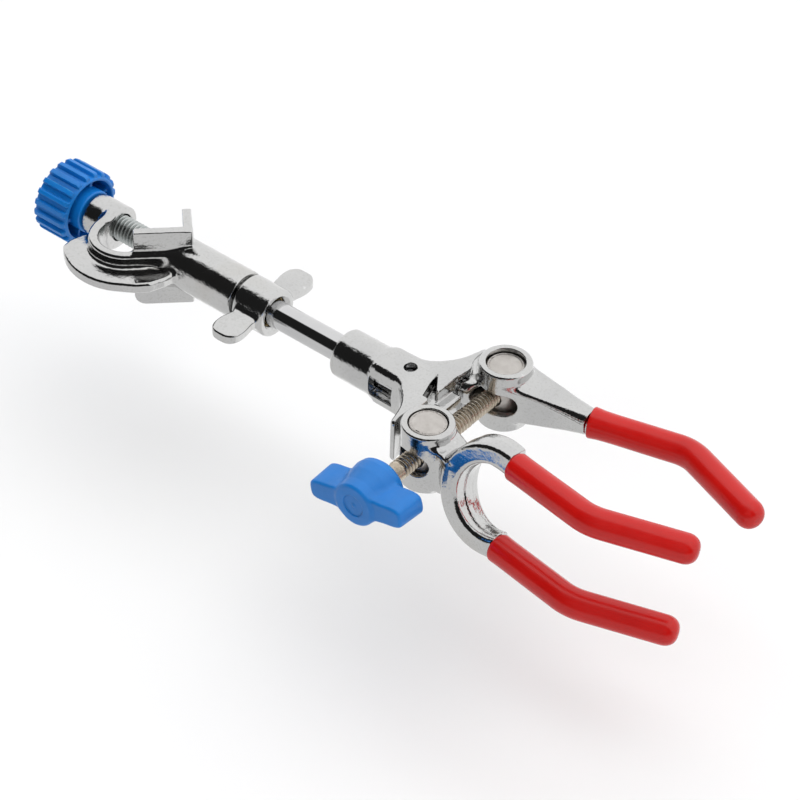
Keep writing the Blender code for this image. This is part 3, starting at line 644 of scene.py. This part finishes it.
# --------------------------------------------------------------------------------------- finishes
class Finish:
    """A procedural material: object-space noise drives its colour, roughness and relief."""

    def __init__(self, name, metallic=0.0, **plain):
        self.made = bpy.data.materials.new(name)
        self.made.use_nodes = True
        self.tree = self.made.node_tree
        self.shader = self.tree.nodes["Principled BSDF"]
        self.shader.inputs["Metallic"].default_value = metallic
        for socket, value in plain.items():
            self.shader.inputs[socket.replace("_", " ")].default_value = value
        self.place = self.node("ShaderNodeTexCoord").outputs["Object"]
        self.normal = None

    def node(self, kind, **settings):
        made = self.tree.nodes.new(kind)
        for key, value in settings.items():
            setattr(made, key, value)
        return made

    def join(self, out, into):
        self.tree.links.new(out, into)

    def noise(self, scale, detail=3.0, rough=0.55, stretch=None):
        """Noise with features about 1/scale metres across."""
        made = self.node("ShaderNodeTexNoise")
        made.inputs["Scale"].default_value = scale
        made.inputs["Detail"].default_value = detail
        made.inputs["Roughness"].default_value = rough
        place = self.place
        if stretch:
            mapping = self.node("ShaderNodeMapping")
            mapping.inputs["Scale"].default_value = stretch
            self.join(place, mapping.inputs["Vector"])
            place = mapping.outputs["Vector"]
        self.join(place, made.inputs["Vector"])
        return made.outputs["Fac"]

    def ramp(self, value, stops):
        made = self.node("ShaderNodeValToRGB")
        bar = made.color_ramp.elements
        while len(bar) < len(stops):
            bar.new(0.5)
        for element, (place, colour) in zip(bar, stops):
            element.position = place
            element.color = (*colour, 1.0) if not isinstance(colour, float) else (colour, colour, colour, 1.0)
        self.join(value, made.inputs["Fac"])
        return made.outputs["Color"]

    def span(self, value, low, high, start=0.35, end=0.65):
        made = self.node("ShaderNodeMapRange")
        made.interpolation_type = "SMOOTHSTEP"
        for i, number in enumerate((start, end, low, high)):
            made.inputs[i + 1].default_value = number
        self.join(value, made.inputs["Value"])
        return made.outputs["Result"]

    def blend(self, share, first, second):
        made = self.node("ShaderNodeMix", data_type="RGBA")
        self.join(share, made.inputs["Factor"])
        for socket, value in ((made.inputs[6], first), (made.inputs[7], second)):
            if isinstance(value, tuple):
                socket.default_value = (*value, 1.0)
            else:
                self.join(value, socket)
        return made.outputs[2]

    def add(self, first, second, kind="ADD"):
        """A sum, or what kind says, of two values."""
        made = self.node("ShaderNodeMath", operation=kind)
        for socket, value in zip(made.inputs, (first, second)):
            if isinstance(value, float):
                socket.default_value = value
            else:
                self.join(value, socket)
        return made.outputs[0]

    def edges(self, low=0.52, high=0.6):
        """1 on worn convex edges, broken up by noise."""
        point = self.node("ShaderNodeNewGeometry").outputs["Pointiness"]
        patches = self.span(self.noise(900.0), 0.0, 1.0)
        return self.add(self.span(point, 0.0, 1.0, low, high), patches, "MULTIPLY")

    def painted_shade_mask(self, low=0.49, high=0.44):
        """1 where the surface is hollow, as a mask for painted shade in recesses."""
        point = self.node("ShaderNodeNewGeometry").outputs["Pointiness"]
        return self.span(point, 0.0, 1.0, low, high)

    def relief(self, height, depth):
        """Bump of the given depth in metres."""
        made = self.node("ShaderNodeBump")
        made.inputs["Strength"].default_value = 1.0
        made.inputs["Distance"].default_value = depth
        self.join(height, made.inputs["Height"])
        if self.normal is not None:
            self.join(self.normal, made.inputs["Normal"])
        self.normal = made.outputs["Normal"]
        self.join(self.normal, self.shader.inputs["Normal"])

    def rings(self, centre, pitch):
        """Fine circles about a vertical axis: a lathe's marks."""
        shift = self.node("ShaderNodeVectorMath", operation="SUBTRACT")
        shift.inputs[1].default_value = centre
        flat = self.node("ShaderNodeVectorMath", operation="MULTIPLY")
        flat.inputs[1].default_value = (1.0, 1.0, 0.0)
        length = self.node("ShaderNodeVectorMath", operation="LENGTH")
        self.join(self.place, shift.inputs[0])
        self.join(shift.outputs[0], flat.inputs[0])
        self.join(flat.outputs[0], length.inputs[0])
        turns = self.add(length.outputs["Value"], 2 * math.pi / pitch, "MULTIPLY")
        return self.add(turns, 0.0, "SINE")


def chrome():
    f = Finish("chrome", 1.0)
    cloud = f.noise(60.0, 4.0)
    colour = f.ramp(cloud, [(0.3, (0.60, 0.60, 0.60)), (0.55, (0.65, 0.65, 0.645)),
                            (0.75, (0.62, 0.61, 0.59))])
    grain = f.span(f.noise(1500.0, 3.0), 0.0, 0.35, 0.50, 0.70)
    colour = f.blend(grain, colour, (0.50, 0.495, 0.48))
    # Painted shade: the chrome is darker grey in the hollows.
    colour = f.blend(f.painted_shade_mask(), colour, (0.34, 0.33, 0.32))
    f.join(f.blend(f.edges(), colour, (0.74, 0.74, 0.74)), f.shader.inputs["Base Color"])
    haze = f.add(f.span(f.noise(220.0, 5.0), 0.07, 0.13), f.span(f.noise(1800.0, 2.0), 0.0, 0.05, 0.5, 0.75))
    f.join(haze, f.shader.inputs["Roughness"])
    f.relief(f.noise(170.0, 2.0), 0.00022)
    f.relief(f.noise(1300.0, 3.0), 0.00006)
    return f.made


def chrome_rod():
    f = Finish("chrome_rod", 1.0)
    f.join(f.ramp(f.noise(90.0), [(0.3, (0.64, 0.64, 0.65)), (0.7, (0.70, 0.70, 0.70))]),
           f.shader.inputs["Base Color"])
    f.join(f.span(f.noise(500.0, 3.0, stretch=(0.1, 1.0, 1.0)), 0.05, 0.11), f.shader.inputs["Roughness"])
    f.relief(f.noise(1500.0, 2.0, stretch=(4.0, 0.3, 0.3)), 0.000012)
    return f.made


def turned_metal(name, tones, rough, hollow_shade_tone, pits=0.000015):
    f = Finish(name, 1.0)
    colour = f.ramp(f.noise(260.0, 4.0), [(0.3, tones[0]), (0.7, tones[1])])
    # Painted shade: the hollows are darkened to the given tone.
    colour = f.blend(f.painted_shade_mask(0.495, 0.45), colour, hollow_shade_tone)
    f.join(f.blend(f.edges(0.51, 0.57), colour, tones[2]), f.shader.inputs["Base Color"])
    f.join(f.span(f.noise(1400.0, 3.0), rough[0], rough[1]), f.shader.inputs["Roughness"])
    f.relief(f.noise(2200.0, 3.0), pits)
    return f.made


def disc_metal(way):
    """The face of a barrel nut, with its lathe marks."""
    f = Finish("nickel_disc_" + ("single" if way > 0 else "double"), 1.0)
    marks = f.rings((HUB_X * MM, way * HUB_Y * MM, 0.0), 0.00035)
    f.join(f.ramp(f.noise(300.0, 4.0), [(0.3, (0.56, 0.53, 0.50)), (0.7, (0.66, 0.63, 0.60))]),
           f.shader.inputs["Base Color"])
    f.join(f.span(f.noise(1100.0, 3.0), 0.34, 0.46), f.shader.inputs["Roughness"])
    f.relief(marks, 0.000006)
    f.relief(f.noise(1900.0, 3.0), 0.00003)
    return f.made


def blue_plastic():
    f = Finish("blue_plastic", IOR=1.49)
    colour = f.ramp(f.noise(90.0, 4.0), [(0.3, (0.003, 0.155, 0.50)), (0.7, (0.005, 0.185, 0.60))])
    # Painted shade: the blue is darker in the hollows.
    colour = f.blend(f.painted_shade_mask(0.49, 0.42), colour, (0.003, 0.10, 0.32))
    f.join(f.blend(f.edges(0.53, 0.62), colour, (0.02, 0.27, 0.62)), f.shader.inputs["Base Color"])
    f.join(f.span(f.noise(700.0, 4.0), 0.30, 0.42), f.shader.inputs["Roughness"])
    f.relief(f.noise(1600.0, 3.0), 0.00002)
    f.relief(f.noise(150.0, 2.0), 0.00012)
    return f.made


def red_vinyl():
    f = Finish("red_vinyl", IOR=1.46)
    colour = f.ramp(f.noise(70.0, 4.0), [(0.3, (0.49, 0.006, 0.005)), (0.7, (0.56, 0.008, 0.006))])
    specks = f.span(f.noise(1300.0, 2.0), 0.0, 0.35, 0.68, 0.74)
    f.join(f.blend(specks, colour, (0.42, 0.006, 0.005)), f.shader.inputs["Base Color"])
    f.join(f.span(f.noise(150.0, 3.0), 0.20, 0.27), f.shader.inputs["Roughness"])
    f.relief(f.noise(110.0, 1.0), 0.00014)
    return f.made


LOOKS = {
    "chrome": chrome(),
    "rod": chrome_rod(),
    "zinc": turned_metal("zinc", ((0.42, 0.45, 0.45), (0.55, 0.58, 0.57), (0.72, 0.73, 0.72)),
                         (0.26, 0.40), (0.16, 0.16, 0.15)),
    "nickel": turned_metal("nickel", ((0.50, 0.43, 0.34), (0.64, 0.56, 0.46), (0.80, 0.73, 0.62)),
                           (0.20, 0.34), (0.13, 0.10, 0.07)),
    "steel": turned_metal("steel", ((0.42, 0.42, 0.43), (0.56, 0.56, 0.57), (0.72, 0.72, 0.72)), (0.28, 0.42),
                          (0.12, 0.12, 0.12)),
    "brass": turned_metal("brass", ((0.36, 0.26, 0.12), (0.46, 0.35, 0.18), (0.70, 0.56, 0.32)), (0.34, 0.48),
                          (0.10, 0.07, 0.03)),
    "disc_single": disc_metal(1),
    "disc_double": disc_metal(-1),
    "blue": blue_plastic(),
    "red": red_vinyl(),
}


# ----------------------------------------------------------------------------------------- pieces
def place(piece, node, body, slot, look):
    """Gives a piece its finish and the body that it moves with, and hides the CAD node that it stands for."""
    piece.data.materials.append(LOOKS[look])
    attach(piece, body)
    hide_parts(node)


place(skin("boss_head_look", boss_head, (-27.5, -25.5, -13.6), (40.0, 14.0, 13.6)), "boss_head", "boss_head",
      "chrome_casting", "chrome")
place(skin("boss_knob_look", boss_knob, (-41.5, -12.2, -12.2), (-26.3, 12.2, 12.2), 0.32), "boss_knob",
      "boss_screw", "blue_plastic", "blue")
place(boss_screw(), "boss_screw", "boss_screw", "zinc_screw", "zinc")
pad_profile = [(-5.4, 2.0), (-5.4, 4.4), (-3.0, 4.4), (-3.0, 2.0), (-3.15, 1.0)]
place(turned("screw_pad_look", eased(pad_profile, 0.45)), "screw_pad", "screw_pad", "bright_steel", "steel")
place(skin("wing_nut_look", wing_nut, (32.8, -19.2, -7.7), (44.8, 19.2, 7.7), 0.3), "wing_nut", "wing_nut",
      "chrome_casting", "chrome")
place(ring_piece("collet_look", 40.6, 42.3, 4.3, 5.3), "collet", "collet", "brass", "brass")
place(ring_piece("stop_ring_look", 18.6, 20.0, 3.75, 5.05), "rod_stop_ring", "stop_ring", "bright_steel",
      "steel")
rod_profile = [(16.6, 2.0), (16.6, ROD_R), (18.45, ROD_R), (18.45, 3.4), (20.15, 3.4), (20.15, ROD_R),
               (96.6, ROD_R), (96.6, 2.0)]
place(turned("rod_look", eased(rod_profile, 0.3)), "rod", "arm", "chrome_rod", "rod")
place(skin("clamp_head_look", clamp_head, (69.0, -22.0, -7.7), (109.0, 22.0, 7.7)), "clamp_head", "arm",
      "chrome_casting", "chrome")
place(pin("rod_pin_look", -5.6, 5.6, 1.5, 93.0, 0.0), "rod_pin", "arm", "bright_steel", "steel")
for side, way in (("single", 1), ("double", -1)):
    place(pin(f"pivot_pin_{side}_look", -6.8, 2.7, 1.3, PIVOT_X, way * PIVOT_Y), f"pivot_pin_{side}", "arm",
          "bright_steel", "steel")
    top = 8.8 if way > 0 else 9.8
    low = (HUB_X - 6.0, way * HUB_Y - 6.0, -9.6)
    nut = skin(f"nut_{side}_look", barrel_nut(way, top), low, (low[0] + 12.0, low[1] + 12.0, top + 0.2), 0.26)
    place(nut, f"nut_{side}", f"nut_{side}", "nickel", f"disc_{side}")
place(skin("finger_single_look", finger_single, (99.8, 5.5, -10.2), (144.5, 26.5, 10.6)), "finger_single",
      "finger_single", "chrome_casting", "chrome")
place(skin("finger_double_look", finger_double, (99.8, -30.5, -17.5), (148.0, -5.5, 18.0)), "finger_double",
      "finger_double", "chrome_casting", "chrome")
place(sleeve("sleeve_single_look", SINGLE_COVERED, 0.5), "sleeve_single", "finger_single", "red_vinyl", "red")
for side in ("upper", "lower"):
    place(sleeve(f"sleeve_{side}_look", DOUBLE[side], 0.12), f"sleeve_{side}", "finger_double", "red_vinyl",
          "red")
place(finger_screw(), "finger_screw", "finger_screw", "nickel", "nickel")
place(skin("wing_knob_look", wing_knob, (95.5, -48.0, -9.2), (129.3, -33.6, 9.2), 0.32), "wing_knob",
      "finger_screw", "blue_plastic", "blue")


# ------------------------------------------------------------------------- floor, light and camera
def floor():
    """Paper under the object, low enough for the arm to swivel, and not mirrored in the chrome."""
    r = FLOOR_REACH
    mesh = bpy.data.meshes.new("floor")
    mesh.from_pydata([(-r, -r, FLOOR_Z), (r, -r, FLOOR_Z), (r, r, FLOOR_Z), (-r, r, FLOOR_Z)], [],
                     [(0, 1, 2, 3)])
    made = bpy.data.objects.new("floor", mesh)
    bpy.context.scene.collection.objects.link(made)
    f = Finish("floor_paper")
    f.join(f.ramp(f.noise(3.0), [(0.3, (0.86, 0.86, 0.865)), (0.7, (0.88, 0.88, 0.88))]),
           f.shader.inputs["Base Color"])
    f.join(f.span(f.noise(400.0), 0.85, 0.95), f.shader.inputs["Roughness"])
    mesh.materials.append(f.made)
    made.visible_glossy = False


def studio():
    """A pale room: a bright wall and ceiling behind the object, a dark side in front, grey below."""
    world = bpy.data.worlds.new("studio")
    bpy.context.scene.world = world
    world.use_nodes = True
    nodes, join = world.node_tree.nodes, world.node_tree.links.new

    def smooth(value, start, end, low, high):
        made = nodes.new("ShaderNodeMapRange")
        made.interpolation_type = "SMOOTHSTEP"
        for i, number in enumerate((start, end, low, high)):
            made.inputs[i + 1].default_value = number
        join(value, made.inputs["Value"])
        return made.outputs["Result"]

    coord = nodes.new("ShaderNodeTexCoord").outputs["Generated"]
    dot = nodes.new("ShaderNodeVectorMath")
    dot.operation = "DOT_PRODUCT"
    dot.inputs[1].default_value = LIT_SIDE
    join(coord, dot.inputs[0])
    split = nodes.new("ShaderNodeSeparateXYZ")
    join(coord, split.inputs["Vector"])
    most = nodes.new("ShaderNodeMath")
    most.operation = "MAXIMUM"
    join(smooth(dot.outputs["Value"], -0.05, 0.05, UNLIT, LIT), most.inputs[0])
    join(smooth(split.outputs["Z"], 0.0, 0.10, BELOW, 0.0), most.inputs[1])
    backdrop = nodes.new("ShaderNodeMix")
    backdrop.data_type = "FLOAT"
    backdrop.inputs[3].default_value = BACKDROP
    join(nodes.new("ShaderNodeLightPath").outputs["Is Camera Ray"], backdrop.inputs[0])
    join(most.outputs[0], backdrop.inputs[2])
    join(backdrop.outputs[0], nodes["Background"].inputs["Strength"])
    nodes["Background"].inputs["Color"].default_value = (1.0, 1.0, 1.0, 1.0)


def lamp(name, place, size, power):
    """A large soft lamp that the chrome doesn't mirror."""
    data = bpy.data.lights.new(name, "AREA")
    data.shape = "DISK"
    data.size = size
    data.energy = power
    made = bpy.data.objects.new(name, data)
    bpy.context.scene.collection.objects.link(made)
    made.location = place
    made.rotation_euler = (Vector(LAMPS_AIM) - Vector(place)).to_track_quat("-Z", "Y").to_euler()
    made.visible_glossy = False


def camera():
    """The camera fitted to the photograph."""
    back = Vector(CAMERA_BACK).normalized()
    right = Vector((0, 0, 1)).cross(back).normalized()
    up = back.cross(right)
    across = right * math.cos(CAMERA_ROLL) + up * math.sin(CAMERA_ROLL)
    above = up * math.cos(CAMERA_ROLL) - right * math.sin(CAMERA_ROLL)
    data = bpy.data.cameras.new("camera")
    data.lens, data.sensor_width = LENS, SENSOR
    data.clip_start, data.clip_end = 0.01, 50.0
    made = bpy.data.objects.new("camera", data)
    bpy.context.scene.collection.objects.link(made)
    turn = Matrix((across, above, back)).transposed().to_4x4()
    made.matrix_world = Matrix.Translation(CAMERA_AT) @ turn
    bpy.context.scene.camera = made


floor()
studio()
lamp("key", (0.0, 0.3, 1.6), 2.6, 20.0)
lamp("fill", (0.9, -1.6, 1.2), 2.2, 17.0)
camera()
bpy.context.scene.view_settings.view_transform = "Standard"
